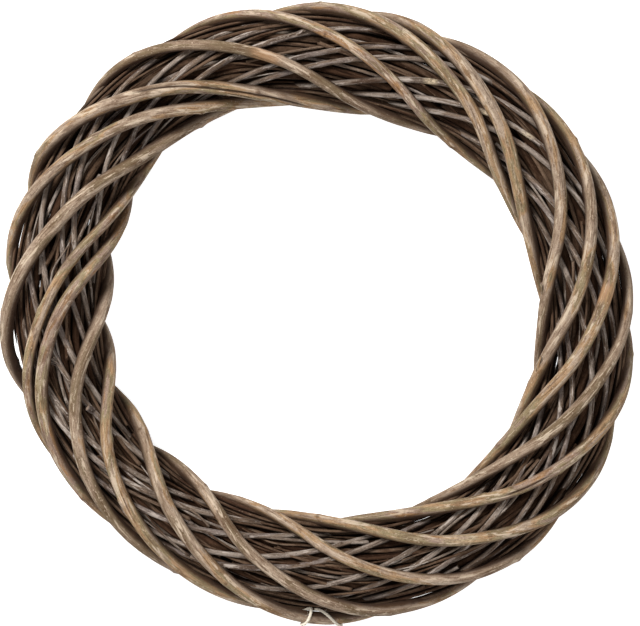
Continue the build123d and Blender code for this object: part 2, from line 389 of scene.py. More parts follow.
def twig_routes(rng, inside, outside):
    """Thin side shoots scattered between these distances from the bundle's middle."""
    routes = []
    for first, last, count in TWIG_STRETCHES:
        for _ in range(count):
            span = rng.uniform(*TWIG_SPANS)
            around = rng.uniform(first, last) + np.linspace(0, span, round(span * TWIG_SECTIONS_PER_DEGREE))
            share = np.linspace(0, 1, len(around))
            slope = rng.choice(TWIG_SLOPES)
            lay = rng.uniform(0, 360) + slope * span * share
            lay += TWIG_SWING * sin(rng.uniform(*TWIG_WAVES) * share)
            diameter = rng.uniform(*TWIG_DIAMETERS)
            depth = rng.uniform(*TWIG_DEPTHS)
            depth = depth + TWIG_DEPTH_SWING * sin(rng.uniform(*TWIG_DEPTH_WAVES) * share)
            points = bundle_point(around, lay, inside + (outside - inside) * depth)
            routes.append(Route(points, bundle_middle(around), diameter / 2 * (1 - TWIG_TAPER * share)))
    return routes


def shares(total, count):
    """The total as `count` whole numbers, as even as they can be, with the larger ones first."""
    return [total // count + (1 if index < total % count else 0) for index in range(count)]


def stub_route(route, at, facing, lean, length, diameter):
    """A stub that leaves a rod `at` this length along it, facing this way, leaning from its direction."""
    start = np.searchsorted(route.length, at)
    out = route.outward[start] * cos(facing) + route.side[start] * sin(facing)
    ahead = route.along[start] * cos(lean) + out * sin(lean)
    share = np.linspace(0, 1, STUB_SECTIONS)
    root = route.points[start] + out * max(0, route.radius[start] - diameter / 2)
    points = root + share[:, None] * length * ahead
    return Route(points, points - out, diameter / 2 * (1 - STUB_TAPER * share))


class Winding:
    """A layer whose strands cross the front of the bundle again and again as they go round the ring."""

    def __init__(self, passes, places, direction, inside, edge_room=0, inner_lag=0, bows=()):
        self.passes = passes
        self.places = np.array(places, dtype=float)
        self.direction = direction
        self.inside = inside
        self.edge_room = edge_room
        self.inner_lag = inner_lag
        self.bows = bows
        self.spacing = 360 / len(places)
        self.offset = np.mean(self.places - self.spacing * np.arange(len(places)))

    def along_ring(self):
        return self.passes * self.spacing

    def middle(self, first, turns, radius, shift):
        """A strand's middle, and the bundle's beside it, `turns` after the back crossing before `first`."""
        crossing = (first + self.passes * np.floor(turns).astype(int)) % len(self.places)
        drift = self.places[crossing] - self.spacing * crossing - self.offset
        even = self.offset + self.spacing * first + self.along_ring() * (turns - 0.5)
        around = even + drift * sin(180 * turns) ** 2 + shift
        lay = 270 + self.direction * 360 * turns
        lay = lay - self.inner_lag * sin(2 * lay) * (1 - cos(lay)) / 2
        reach = self.inside + CLEARANCE + radius + self.edge_room * at_edges(lay)
        for bowed, height, peak in self.bows:
            reach += (crossing == bowed) * height * np.maximum(0, cos(lay - peak)) ** BOW_SHARPNESS
        return bundle_point(around, lay, reach), bundle_middle(around)

    def rods(self, first_crossing, diameters):
        """The layer's rods. They follow one another along each strand until it closes on itself."""
        strands = math.gcd(self.passes, len(self.places))
        per_strand = self.passes // strands
        rods = []
        for strand in range(strands):
            first = first_crossing + strand * (self.passes + 1)
            ends = diameters[strand * per_strand:(strand + 1) * per_strand]
            for index, turns in enumerate(shares(len(self.places) // strands, per_strand)):
                start, end = ends[index]
                before = (ends[index - 1][1] + start) / 2 + SPLICE_GAP
                after = (end + ends[(index + 1) % per_strand][0]) / 2 + SPLICE_GAP
                rods.append(WoundRod(self, first, turns, start, end, before, after))
                first += self.passes * turns
        return rods


class WoundRod:
    """A rod of whole turns whose ends lie beside the ends of the rods before and after it."""

    def __init__(self, winding, first, turns, start, end, before, after):
        self.winding = winding
        self.first = first
        self.turns = turns
        self.start = start
        self.end = end
        reach = winding.inside + CLEARANCE + (start + end) / 4
        pitch = math.radians(winding.along_ring()) * RING_RADIUS
        self.turn_length = math.hypot(math.tau * reach, pitch)
        self.overlap = SPLICE_OVERLAP / 2 / self.turn_length
        self.ease = SPLICE_EASE / self.turn_length
        across = math.tau * reach / self.turn_length
        self.before = math.degrees(before / 2 / across / RING_RADIUS)
        self.after = math.degrees(after / 2 / across / RING_RADIUS)

    def diameter(self, turns):
        share = (turns + self.overlap) / (self.turns + 2 * self.overlap)
        return self.start + (self.end - self.start) * share

    def middle(self, turns):
        """The rod's middle and the bundle's beside it. Each end eases aside to lie beside its neighbour."""
        from_start = np.clip((turns - self.overlap) / self.ease, 0, 1)
        from_end = np.clip((self.turns - turns - self.overlap) / self.ease, 0, 1)
        shift = self.before * cos(90 * from_start) ** 2 - self.after * cos(90 * from_end) ** 2
        return self.winding.middle(self.first, turns, self.diameter(turns) / 2, shift)

    def route(self, spacing):
        length = (self.turns + 2 * self.overlap) * self.turn_length
        turns = np.linspace(-self.overlap, self.turns + self.overlap, round(length / spacing))
        return Route(*self.middle(turns), self.diameter(turns) / 2)

    def length_at(self, turns):
        """How far along the rod these turns are reached."""
        return (turns + self.overlap) * self.turn_length


def twine_route(rod):
    """The twine's way round its rod, where that rod passes the bottom of the ring."""
    angles, places = np.array(TWINE_ROUTE, dtype=float).T
    angle = np.linspace(angles[0], angles[-1], TWINE_SECTIONS)
    turns = TWINE_TURNS + np.interp(angle, angles, places) / rod.turn_length
    middle, _ = rod.middle(turns)
    along = unit(rod.middle(turns + 0.01)[0] - rod.middle(turns - 0.01)[0])
    front = unit(np.cross(along, unit(middle * (1, 1, 0))))
    outward = np.cross(front, along)
    reach = (rod.diameter(turns) + TWINE_DIAMETER) / 2 + CLEARANCE
    points = middle + (outward * cos(angle)[:, None] + front * sin(angle)[:, None]) * reach[:, None]
    return Route(points, middle, TWINE_DIAMETER / 2)


# ---- Surfaces ----
def waver(rng, length, wavelength, size):
    """A smooth random value along a rod, between -size and size."""
    count = int(length[-1] / wavelength) + 4
    values = rng.uniform(-1, 1, count)
    place = (length - length[0]) / wavelength
    index = np.floor(place).astype(int)
    share = place - index
    share = share * share * (3 - 2 * share)
    return size * (values[index] * (1 - share) + values[index + 1] * share)


def turned_from(angles, facing):
    """How far each angle round a rod is turned from `facing`, -180 to 180."""
    return (np.degrees(angles)[None, :] - facing + 180) % 360 - 180


def bark_relief(rng, route, angles, ridges, knots):
    """The rod's radius at each section and angle, and how near each point is to a knot."""
    length = route.length[:, None]
    shape = np.ones((len(length), len(angles)))
    for waves, size in ridges:
        turn = waver(rng, route.length, *RIDGE_TURN)[:, None]
        height = size * (1 + waver(rng, route.length, *RIDGE_CHANGE)[:, None])
        shape += height * cos(waves * np.degrees(angles)[None, :] + turn + rng.uniform(0, 360))
    shape += waver(rng, route.length, *GIRTH_CHANGE)[:, None]
    knot = np.zeros_like(shape)
    (least, most), swelling, bud = knots
    place = rng.uniform(0, most)
    facing = rng.uniform(0, 360)
    while place < route.length[-1]:
        away = (length - place) / route.radius[0]
        turned = np.radians(turned_from(angles, facing))
        size = rng.uniform(*KNOT_SIZES)
        round_rod = SWELLING_ALL_ROUND + SWELLING_AT_BUD * np.cos(turned)
        shape += size * swelling * np.exp(-(away / SWELLING_LENGTH) ** 2) * round_rod
        near = np.exp(-(away / BUD_LENGTH) ** 2 - (turned / BUD_WIDTH) ** 2)
        shape += size * bud * near
        scar = SCAR_ALL_ROUND + SCAR_AT_BUD * np.exp(-(turned / SCAR_WIDTH) ** 2)
        knot = np.maximum(knot, np.exp(-((away + SCAR_STEP) / SCAR_LENGTH) ** 2) * scar)
        knot = np.maximum(knot, near * min(1, size))
        place += rng.uniform(least, most)
        facing += GOLDEN_ANGLE
    return shape, knot


def add_split(route, angles, shape, start, end, facing, width, depth):
    """A dry split along part of a rod: a groove with raised lips. Gives back where the groove lies."""
    length = route.length[:, None]
    reach = np.clip(np.minimum(length - start, end - length) / SPLIT_FADE, 0, 1)
    for turn, stretch in SPLIT_WANDERS:
        facing = facing + turn * np.sin(length / stretch)
    turned = turned_from(angles, facing)
    groove = reach * np.exp(-(turned / width) ** 2)
    shape -= depth * groove
    shape += LIP_HEIGHT * depth * reach * np.exp(-((np.abs(turned) - LIP_PLACE * width) / width) ** 2)
    return groove


def ring_points(points, flat, outward, side):
    """A ring of points round each point of a line, from their places across it."""
    return points[:, None, :] + flat[..., :1] * outward[:, None] + flat[..., 1:] * side[:, None]


def ring_grain(length, flat):
    """Where each of these points lies: how far along the rod, and its two places across it."""
    return np.concatenate((np.repeat(length[:, None, None], flat.shape[1], axis=1), flat), axis=2)


def ring_faces(sections, sides, first=0):
    """The numbers of the points, ring by ring, and the quads between the rings."""
    index = first + np.arange(sections * sides).reshape(sections, sides)
    turned = np.roll(index, -1, axis=1)
    quads = np.stack((index[:-1], turned[:-1], turned[1:], index[1:]), axis=-1)
    return index, quads.reshape(-1, 4).tolist()


def new_object(name, data):
    made = bpy.data.objects.new(name, data)
    bpy.context.scene.collection.objects.link(made)
    return made


def set_point_values(mesh, grain, marks):
    """Stores what the materials read at each point."""
    mesh.attributes.new("grain", "FLOAT_VECTOR", "POINT").data.foreach_set("vector", grain.ravel())
    for mark, value in marks.items():
        mesh.attributes.new(mark, "FLOAT", "POINT").data.foreach_set("value", value)


def make_tube(name, route, shape, marks, slant, rng):
    """A mesh round the route with a slanted cut face at each end."""
    sections, sides = shape.shape
    reach = route.radius[:, None] * shape
    flat = reach[..., None] * circle(sides)[None]
    points = ring_points(route.points, flat, route.outward, route.side)
    for end, ahead in ((0, -1), (-1, 1)):
        lean = rng.uniform(0, math.tau)
        slide = ahead * slant * (flat[end] @ (math.cos(lean), math.sin(lean)))
        points[end] += slide[:, None] * route.along[end]
    index, faces = ring_faces(sections, sides)
    bark_faces = len(faces)
    rows = [points.reshape(-1, 3)]
    grains = [ring_grain(route.length, flat).reshape(-1, 3)]
    values = {mark: value.reshape(-1) for mark, value in marks.items()}
    for end, sink in ((0, CUT_FACE_DEPTH), (-1, -CUT_FACE_DEPTH)):
        rim = index[end]
        middle = points[end].mean(axis=0)
        hub = sum(len(part) for part in rows) + sides
        ring = hub - sides + np.arange(sides)
        rows += [middle + CUT_FACE * (points[end] - middle) + route.along[end] * sink, middle[None]]
        grains += [ring_grain(route.length[[end]], CUT_FACE * flat[[end]])[0], ((route.length[end], 0, 0),)]
        for here, there in zip(range(sides), np.roll(range(sides), -1)):
            cap = [[rim[here], rim[there], ring[there], ring[here]], [ring[here], ring[there], hub]]
            faces += cap if end else [face[::-1] for face in cap]
        for mark in values:
            values[mark] = np.concatenate((values[mark], np.full(sides + 1, values[mark][rim].mean())))
    rows = np.concatenate(rows) + ring_place
    # The bark that a rod lies on is pressed flat.
    rows[:, 2] = np.maximum(rows[:, 2], cad_low[2] / MM)
    mesh = bpy.data.meshes.new(name)
    mesh.from_pydata(rows * MM, [], [[int(v) for v in face] for face in faces])
    is_cap = np.arange(len(faces)) >= bark_faces
    mesh.polygons.foreach_set("material_index", is_cap.astype(np.int32))
    mesh.polygons.foreach_set("use_smooth", ~is_cap)
    set_point_values(mesh, np.concatenate(grains), values)
    mesh.update()
    return mesh


# ---- Materials ----
# The tones that each kind's blotches run through, with their places in the pattern.
OUTER_TONES = (
    (0.24, (126, 108, 84)), (0.35, (162, 140, 119)), (0.45, (184, 163, 143)), (0.53, (180, 146, 110)),
    (0.61, (152, 137, 105)), (0.69, (164, 141, 126)), (0.77, (172, 132, 92)), (0.86, (128, 98, 72)),
)
COUNTER_TONES = (
    (0.26, (88, 70, 58)), (0.38, (140, 125, 112)), (0.50, (160, 146, 135)),
    (0.62, (126, 107, 91)), (0.72, (138, 125, 118)), (0.84, (86, 68, 55)),
)
# The hidden rods' tones are darker than their bark: painted shade deep in the bundle, over dark bark.
HIDDEN_BARK_AND_SHADE_TONES = ((0.28, (50, 33, 24)), (0.45, (80, 58, 44)), (0.60, (58, 40, 29)), (0.78, (96, 76, 61)))
SHOOT_TONES = ((0.28, (76, 54, 41)), (0.45, (116, 94, 76)), (0.60, (94, 71, 55)), (0.78, (134, 116, 100)))
TWIG_TONES = ((0.28, (72, 51, 38)), (0.45, (116, 94, 77)), (0.60, (92, 70, 54)), (0.78, (132, 112, 96)))
TANNED = (192, 146, 106)
# Pale worn bark, which is also the colour of the painted highlights on the counter-wound rods.
RUBBED_AND_HIGHLIGHT = (222, 202, 170)
WHITE = (1, 1, 1, 1)


def paint(colour):
    """A colour given as it looks on a screen, 0 to 255."""
    channels = [channel / 255 for channel in colour]
    return [c / 12.92 if c <= 0.04045 else ((c + 0.055) / 1.055) ** 2.4 for c in channels] + [1]


class Nodes:
    """The node tree of a material or a world."""

    def __init__(self, owner):
        self.owner = owner
        owner.use_nodes = True
        self.tree = owner.node_tree

    def set(self, node, inputs):
        for key, value in inputs.items():
            socket = node.inputs[key]
            if isinstance(value, bpy.types.NodeSocket):
                self.tree.links.new(value, socket)
            else:
                socket.default_value = value

    def add(self, kind, inputs, output=0, **settings):
        node = self.tree.nodes.new(f"ShaderNode{kind}")
        for key, value in settings.items():
            setattr(node, key, value)
        self.set(node, inputs)
        return node.outputs[output]

    def shade(self, inputs):
        self.set(self.tree.nodes["Principled BSDF"], inputs)
        return self.owner

    def calculate(self, operation, *values):
        return self.add("Math", dict(enumerate(values)), operation=operation)

    def seen(self):
        """1 for what the camera, a reflection or a clear piece shows, 0 for the light on a piece."""
        path = self.tree.nodes.new("ShaderNodeLightPath").outputs
        seen = path["Is Camera Ray"]
        for ray in ("Is Glossy Ray", "Is Transmission Ray"):
            seen = self.calculate("MAXIMUM", seen, path[ray])
        return seen

    def mark(self, name):
        return self.add("Attribute", {}, "Fac", attribute_name=name)

    def grain(self, lengthwise, across, offset):
        """Coordinates along the rod, in units of this many millimetres, which differ between rods."""
        place = self.add("Attribute", {}, "Vector", attribute_name="grain")
        seed = self.mark("seed")
        moved = self.add("CombineXYZ", {"X": seed, "Y": offset, "Z": offset})
        scaled = self.add("VectorMath", {0: place, 1: (1 / lengthwise, 1 / across, 1 / across)},
                          operation="MULTIPLY")
        return self.add("VectorMath", {0: scaled, 1: moved}, operation="ADD")

    def noise(self, lengthwise, across, offset=0.0, detail=4.0, roughness=0.55, distortion=0.0):
        place = self.grain(lengthwise, across, offset)
        inputs = {"Vector": place, "Scale": 1.0, "Detail": detail}
        inputs |= {"Roughness": roughness, "Distortion": distortion}
        return self.add("TexNoise", inputs)

    def span(self, value, low, high, top=1.0, bottom=0.0):
        """Rises smoothly from `bottom`, where the value is `low`, to `top`, where it is `high`."""
        inputs = {"Value": value, "From Min": low, "From Max": high, "To Min": bottom, "To Max": top}
        return self.add("MapRange", inputs, interpolation_type="SMOOTHSTEP")

    def sum(self, *terms):
        """Adds pairs of (value, weight)."""
        total = 0.0
        for value, weight in terms:
            total = self.calculate("MULTIPLY_ADD", value, weight, total)
        return total

    def times(self, first, second):
        return self.calculate("MULTIPLY", first, second)

    def mix(self, share, first, second):
        return self.add("Mix", {"Factor": share, "A": first, "B": second}, "Result",
                        data_type="RGBA", blend_type="MIX")

    def ramp(self, value, stops):
        node = self.tree.nodes.new("ShaderNodeValToRGB")
        node.color_ramp.interpolation = "EASE"
        elements = node.color_ramp.elements
        while len(elements) < len(stops):
            elements.new(0.5)
        for element, (place, colour) in zip(elements, stops):
            element.position = place
            element.color = paint(colour)
        self.set(node, {"Fac": value})
        return node.outputs["Color"]

    def bump(self, height, distance):
        return self.add("Bump", {"Height": height, "Distance": distance * MM, "Strength": 1.0})


def willow_bark(name, tones, crack, dirt_and_shade, worn, worn_share, rough, relief, gloss):
    """Weathered bark: blotches, streaks, lenticels, knots, worn ridges, painted shade on the side facing
    the bundle's middle, and painted highlights.
    """
    nodes = Nodes(bpy.data.materials.new(name))
    crack, dirt_and_shade, worn = paint(crack), paint(dirt_and_shade), paint(worn)
    shelter, knot, tone = nodes.mark("shelter"), nodes.mark("knot"), nodes.mark("tone")
    # Each pattern has its length along the rod, its width round it, and an offset of its own.
    blotches = nodes.noise(30, 6, 3.1, detail=3, distortion=0.5)
    patches = nodes.noise(11, 3.2, 91.0, detail=5, roughness=0.62, distortion=0.6)
    streaks = nodes.noise(14, 0.8, 11.7, detail=7, roughness=0.62)
    fibres = nodes.noise(5.0, 0.3, 23.9, detail=4, roughness=0.6)
    mottle = nodes.noise(1.5, 1.0, 41.3, detail=6, roughness=0.75)
    grit = nodes.noise(0.62, 0.5, 63.1, detail=3, roughness=0.7)
    wear = nodes.noise(12, 2.0, 57.0, detail=5, roughness=0.68, distortion=0.3)
    cells = {"Vector": nodes.grain(2.4, 1.4, 71.0), "Scale": 1.0, "Randomness": 1.0}
    lenticels = nodes.span(nodes.add("TexVoronoi", cells, "Distance"), 0.26, 0.1)
    exposed = nodes.span(shelter, 0.5, 0.15)
    bare = nodes.times(nodes.span(wear, 1 - worn_share, 1.06 - worn_share, 0.8), exposed)
    # Painted shade: how deep a point lies in the shade on the rod's side facing the bundle's middle, broken
    # by mottles and streaks.
    painted_shade = nodes.sum((shelter, 1.0), (mottle, 0.35), (streaks, 0.3))
    # What lies over the blotches, from the bottom up: how much of it shows, and its colour.
    layers = (
        (nodes.span(patches, 0.52, 0.36, 0.55), crack),
        (nodes.span(streaks, 0.46, 0.34, 0.8), crack),
        (nodes.span(fibres, 0.6, 0.35, 0.34), crack),
        (nodes.times(nodes.span(streaks, 0.55, 0.72), 0.5), worn),
        (nodes.times(lenticels, nodes.span(mottle, 0.4, 0.6, 0.75)), worn),
        (nodes.span(mottle, 0.5, 0.32, 0.6), crack),
        (nodes.span(grit, 0.45, 0.28, 0.5), dirt_and_shade),
        (bare, worn),
        (nodes.times(nodes.span(grit, 0.56, 0.7, 0.55), nodes.span(mottle, 0.45, 0.6)), worn),
        (nodes.span(knot, 0.3, 0.9, 0.6), crack),
        # Painted shade on the side of the rod that faces the bundle's middle.
        (nodes.span(painted_shade, 0.56, 1.06, 0.94), dirt_and_shade),
        (nodes.times(nodes.mark("tanned"), nodes.span(streaks, 0.35, 0.6, 0.85, 0.2)), paint(TANNED)),
        # Pale worn stretches, and painted highlights on the counter-wound rods, where a rod is marked.
        (nodes.times(nodes.mark("rubbed_and_highlight"), nodes.span(mottle, 0.38, 0.6, 0.9, 0.15)), paint(RUBBED_AND_HIGHLIGHT)),
        (nodes.span(nodes.mark("split"), 0.15, 0.7, 0.9), dirt_and_shade),
    )
    colour = nodes.ramp(nodes.sum((blotches, 1.0), (tone, 0.2)), tones)
    for share, shade in layers:
        colour = nodes.mix(share, colour, shade)
    height = nodes.sum(
        (streaks, 0.9), (fibres, 0.4), (mottle, 0.5), (grit, 0.3), (lenticels, 0.14), (knot, 0.15))
    roughness = nodes.sum((mottle, 0.6), (bare, -0.5))
    return nodes.shade({
        "Base Color": colour,
        "Roughness": nodes.span(roughness, -0.1, 0.6, rough + 0.1, rough - 0.16),
        "Specular IOR Level": gloss,
        "Normal": nodes.bump(height, relief),
    })


def cut_wood(name, pale, ring, weathered):
    """A cut end: growth rings, and weathering in blotches."""
    nodes = Nodes(bpy.data.materials.new(name))
    place = nodes.add("Attribute", {}, "Vector", attribute_name="grain")
    flat = nodes.add("VectorMath", {0: place, 1: (0.0, 1.0, 1.0)}, operation="MULTIPLY")
    blotch = nodes.noise(40, 0.9, 5.0, detail=4, roughness=0.6)
    wave = {"Vector": flat, "Scale": 0.62, "Distortion": 1.2, "Detail": 3.0, "Detail Scale": 1.4}
    rings = nodes.add("TexWave", wave, "Fac", wave_type="RINGS", rings_direction="X")
    colour = nodes.mix(nodes.span(rings, 0.35, 0.9, 0.6), paint(pale), paint(ring))
    colour = nodes.mix(nodes.span(blotch, 0.42, 0.68, 0.75), colour, paint(weathered))
    return nodes.shade({
        "Base Color": colour,
        "Roughness": nodes.span(blotch, 0.2, 0.8, 0.92, 0.7),
        "Specular IOR Level": 0.25,
        "Normal": nodes.bump(nodes.sum((rings, 0.5), (blotch, 0.5)), 0.12),
    })


def twine_fibre(name, pale, dark):
    """Jute: fine fibres along each ply, and darker blotches."""
    nodes = Nodes(bpy.data.materials.new(name))
    fibres = nodes.noise(3.5, 0.09, 9.0, detail=4, roughness=0.6)
    blotches = nodes.noise(5, 1.2, 31.0, detail=3)
    colour = nodes.mix(nodes.span(fibres, 0.55, 0.3, 0.5), paint(pale), paint(dark))
    colour = nodes.mix(nodes.span(blotches, 0.5, 0.75, 0.3), colour, paint(dark))
    return nodes.shade({
        "Base Color": colour,
        "Roughness": nodes.span(fibres, 0.2, 0.8, 0.96, 0.82),
        "Specular IOR Level": 0.2,
        "Sheen Weight": 0.25,
        "Sheen Roughness": 0.6,
        "Normal": nodes.bump(nodes.sum((fibres, 1.0), (blotches, 0.4)), 0.08),
    })


# Name, tones, cracks, dirt and painted shade, worn bark, share of it that is worn, roughness, height of the
# relief, gloss.
outer_bark, counter_bark, hidden_bark_and_shade, shoot_bark, twig_bark = [willow_bark(*bark) for bark in (
    ("outer_bark", OUTER_TONES, (92, 66, 46), (54, 35, 23), (210, 191, 168), 0.46, 0.76, 0.5, 0.2),
    ("counter_bark", COUNTER_TONES, (58, 42, 32), (34, 22, 15), (190, 178, 168), 0.44, 0.78, 0.34, 0.12),
    # The hidden rods' bark is nearly black: painted shade deep in the bundle, over dark bark.
    ("hidden_bark_and_shade", HIDDEN_BARK_AND_SHADE_TONES, (28, 17, 11), (17, 10, 7), (92, 72, 57), 0.26, 0.9, 0.25, 0.02),
    ("shoot_bark", SHOOT_TONES, (42, 27, 19), (26, 16, 11), (134, 114, 96), 0.32, 0.82, 0.2, 0.06),
    ("twig_bark", TWIG_TONES, (40, 26, 18), (23, 14, 9), (124, 104, 86), 0.34, 0.84, 0.2, 0.05),
)]
pale_wood = cut_wood("cut_wood", (206, 186, 164), (170, 146, 120), (158, 138, 122))
dull_wood = cut_wood("dull_wood", (94, 76, 58), (64, 48, 36), (50, 40, 33))
torn_wood = cut_wood("torn_wood", (164, 144, 128), (128, 106, 90), (104, 86, 74))
jute = twine_fibre("jute", (246, 238, 222), (196, 176, 146))


# ---- The rods ----
hidden, hidden_outside = hidden_routes()
even = 360 / COUNTER_CROSSINGS
counter_places = [even * i + COUNTER_WANDER * sin(GOLDEN_ANGLE * i) for i in range(COUNTER_CROSSINGS)]
counter_winding = Winding(COUNTER_PASSES, counter_places, -1, hidden_outside)
counter_rods = counter_winding.rods(0, [COUNTER_DIAMETERS] * COUNTER_PASSES)
counter_outside = hidden_outside + CLEARANCE + COUNTER_DIAMETERS[0]
passes = len(OUTER_ROD_DIAMETERS)
turns_before = sum(shares(len(FRONT_CROSSINGS), passes)[:TWINE_ROD - 1]) + math.floor(TWINE_TURNS)
twine_crossing = (FIRST_OUTER_CROSSING + passes * turns_before) % len(FRONT_CROSSINGS)
outer_winding = Winding(passes, FRONT_CROSSINGS, 1, counter_outside, SHOOT_DIAMETER + CLEARANCE, INNER_LAG,
                        BOWS + ((twine_crossing, TWINE_DIAMETER + CLEARANCE, 0),))
outer_rods = outer_winding.rods(FIRST_OUTER_CROSSING, OUTER_ROD_DIAMETERS)
counter = {f"counter_rod_{i + 1}": rod.route(COUNTER_SPACING) for i, rod in enumerate(counter_rods)}
outer = {f"outer_rod_{i + 1}": rod.route(OUTER_SPACING) for i, rod in enumerate(outer_rods)}

shoots = shoot_routes(counter_outside)


def stretches(name, rod, listed, ends):
    """What a list says of this rod, with the first `ends` values as lengths along it."""
    return [[rod.length_at(turns) for turns in values[:ends]] + values[ends:]
            for listed_name, *values in listed if listed_name == name]


# The ring's middle, from the box of the plain rods and the box of the frame.
corners = np.array([route.box() for layer in (hidden, counter, shoots, outer) for route in layer.values()])
formula_low, formula_high = corners[:, 0].min(axis=0), corners[:, 1].max(axis=0)
ring_place = (np.array(cad_low) + np.array(cad_high)) / 2 / MM - (formula_low + formula_high) / 2
ring_place[2] = cad_low[2] / MM - formula_low[2]

# How each kind of rod is drawn: points round it, ridges, knots, how far it strays, bark, cut wood, slot.
HIDDEN_LOOK = (HIDDEN_SIDES, THIN_RIDGES, HIDDEN_KNOTS, 0.25, hidden_bark_and_shade, dull_wood, "brown_willow")
COUNTER_LOOK = (COUNTER_SIDES, THIN_RIDGES, COUNTER_KNOTS, 0.15, counter_bark, dull_wood, "grey_willow")
SHOOT_LOOK = (SHOOT_SIDES, THIN_RIDGES, SHOOT_KNOTS, 0.2, shoot_bark, dull_wood, "grey_willow")
PARTNER_LOOK = (SHOOT_SIDES, THIN_RIDGES, SHOOT_KNOTS, 0.3, twig_bark, dull_wood, "grey_willow")
OUTER_LOOK = (OUTER_SIDES, OUTER_RIDGES, OUTER_KNOTS, 0.15, outer_bark, pale_wood, "outer_willow")
GREY_STUB_LOOK = (SHOOT_SIDES, THIN_RIDGES, STUB_KNOTS, 0.05, counter_bark, torn_wood, "grey_willow")
OUTER_STUB_LOOK = (SHOOT_SIDES, THIN_RIDGES, STUB_KNOTS, 0.05, outer_bark, torn_wood, "outer_willow")
# Side shoots take these in turn.
SIDE_SHOOT_LOOKS = [
    (SHOOT_SIDES, THIN_RIDGES, SIDE_SHOOT_KNOTS, 0.2, bark, dull_wood, "brown_willow")
    for bark in (counter_bark, twig_bark, twig_bark)
]


def add_rod(name, route, look, seed, label="bark", slant=CUT_SLANT, splits=(), patches=()):
    """One rod or shoot with its relief. Alone or with others, it stands for the CAD node of this name."""
    sides, ridges, knots, sway, bark, wood, slot = look
    rng = np.random.default_rng(seed)
    angles = np.arange(sides) * math.tau / sides
    shape, knot = bark_relief(rng, route, angles, ridges, knots)
    groove = 0 * shape
    for start, end, facing, width, depth in splits:
        groove += add_split(route, angles, shape, start, end, facing, width, depth)
    for direction in (route.outward, route.side):
        route.points += direction * waver(rng, route.length, SWAY_LENGTH, sway)[:, None]
    marks = {
        # 0 on the side of each rod that faces away from the bundle's middle, 1 on the side facing it: the
        # bark paints shade by it, and wears only on the outer side.
        "shelter": (1 - np.cos(angles)) / 2 + 0 * shape,
        "knot": knot,
        "split": groove,
        "tone": rng.uniform(-1, 1) + 0 * shape,
        "seed": seed * GRAIN_STEP + 0 * shape,
    }
    for middle, half, kind, strength in patches:
        near = strength * np.exp(-((route.length[:, None] - middle) / half) ** 4)
        marks[kind] = np.maximum(marks.get(kind, 0), near + 0 * shape)
    mesh = make_tube(f"{name}_{label}", route, shape, marks, slant, rng)
    mesh.materials.append(bark)
    mesh.materials.append(wood)
    rod = new_object(f"{name}_{label}", mesh)
    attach(rod, "root")
    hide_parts(name)


for number, (name, route) in enumerate(hidden.items()):
    add_rod(name, route, HIDDEN_LOOK, HIDDEN_SEED + number)
for number, ((name, route), rod) in enumerate(zip(counter.items(), counter_rods)):
    add_rod(name, route, COUNTER_LOOK, COUNTER_SEED + number, patches=stretches(name, rod, PATCHES, 1))
for number, (name, route) in enumerate(shoots.items()):
    add_rod(name, route, SHOOT_LOOK, SHOOT_SEED + number)
for number, (name, route) in enumerate(partner_routes(counter_outside).items()):
    add_rod(name, route, PARTNER_LOOK, PARTNER_SEED + number, "partner")
# Edge twigs are given to the edge shoots in turn, and fillers and side shoots to the middle rods.
for number, route in enumerate(edge_twig_routes(counter_outside)):
    add_rod(f"edge_shoot_{number + 1}", route, SHOOT_LOOK, EDGE_TWIG_SEED + number, "edge_twig")
side_shoots = filler_routes(np.random.default_rng(FILLER_ROUTE_SEED), hidden_outside)
side_shoots += twig_routes(np.random.default_rng(TWIG_ROUTE_SEED), hidden_outside, counter_outside)
middle_rods = [name for name in hidden if name.startswith("middle_rod")]
for number, route in enumerate(side_shoots):
    name = middle_rods[number % len(middle_rods)]
    look = SIDE_SHOOT_LOOKS[number % len(SIDE_SHOOT_LOOKS)]
    add_rod(name, route, look, SIDE_SHOOT_SEED + number, f"side_shoot_{number + 1}")
for number, ((name, route), rod) in enumerate(zip(outer.items(), outer_rods)):
    add_rod(name, route, OUTER_LOOK, OUTER_SEED + number, splits=stretches(name, rod, SPLITS, 2),
            patches=stretches(name, rod, PATCHES, 1))
sliver_rng = np.random.default_rng(SLIVER_SEED)
for number, (name, turns, facing, lean, length, diameter, slivers) in enumerate(STUBS):
    if name in outer:
        layer, routes, look = outer_rods, outer, OUTER_STUB_LOOK
    else:
        layer, routes, look = counter_rods, counter, GREY_STUB_LOOK
    at = layer[list(routes).index(name)].length_at(turns)
    for sliver in range(slivers):
        step, turn, tilt, stretch = (sliver > 0) * sliver_rng.uniform(-1, 1, 4)
        stub = stub_route(routes[name], at + SLIVER_STEP * step, facing + SLIVER_TURN * turn,
                          lean + SLIVER_LEAN * tilt, length * (1 + SLIVER_STRETCH * stretch), diameter)
        seed = STUB_SEED + SEEDS_PER_STUB * number + sliver
        add_rod(name, stub, look, seed, f"stub_{number + 1}_{sliver + 1}", TORN_SLANT)


# ---- The twine: three plies twisted round one another, with loose fibres ----
PLIES = 3
PLY_PITCH = 4.6
PLY_SIDES = 12
PLY_OFFSET = 0.23 * TWINE_DIAMETER
PLY_RADIUS = 0.29 * TWINE_DIAMETER
PLY_CHANGE = (1.5, 0.08)
# Each ply narrows to this share of its radius over this length before each end.
PLY_TIP = 0.35
PLY_TIP_LENGTH = 1.2
HAIRS = 46
HAIR_LENGTHS = (0.8, 2.4)
HAIR_RADII = (0.05, 0.02)
HAIR_LEANS = (0.5, 1.0)
HAIR_CURL = 0.25
HAIR_ROOT = 0.42 * TWINE_DIAMETER
HAIR_SECTIONS = 7
HAIR_SIDES = 4
# No hair starts on this many sections at either end.
HAIR_MARGIN = 5
# How far apart the plies, and the hairs, lie in the fibres' pattern.
PLY_GRAIN_STEP = 100.0


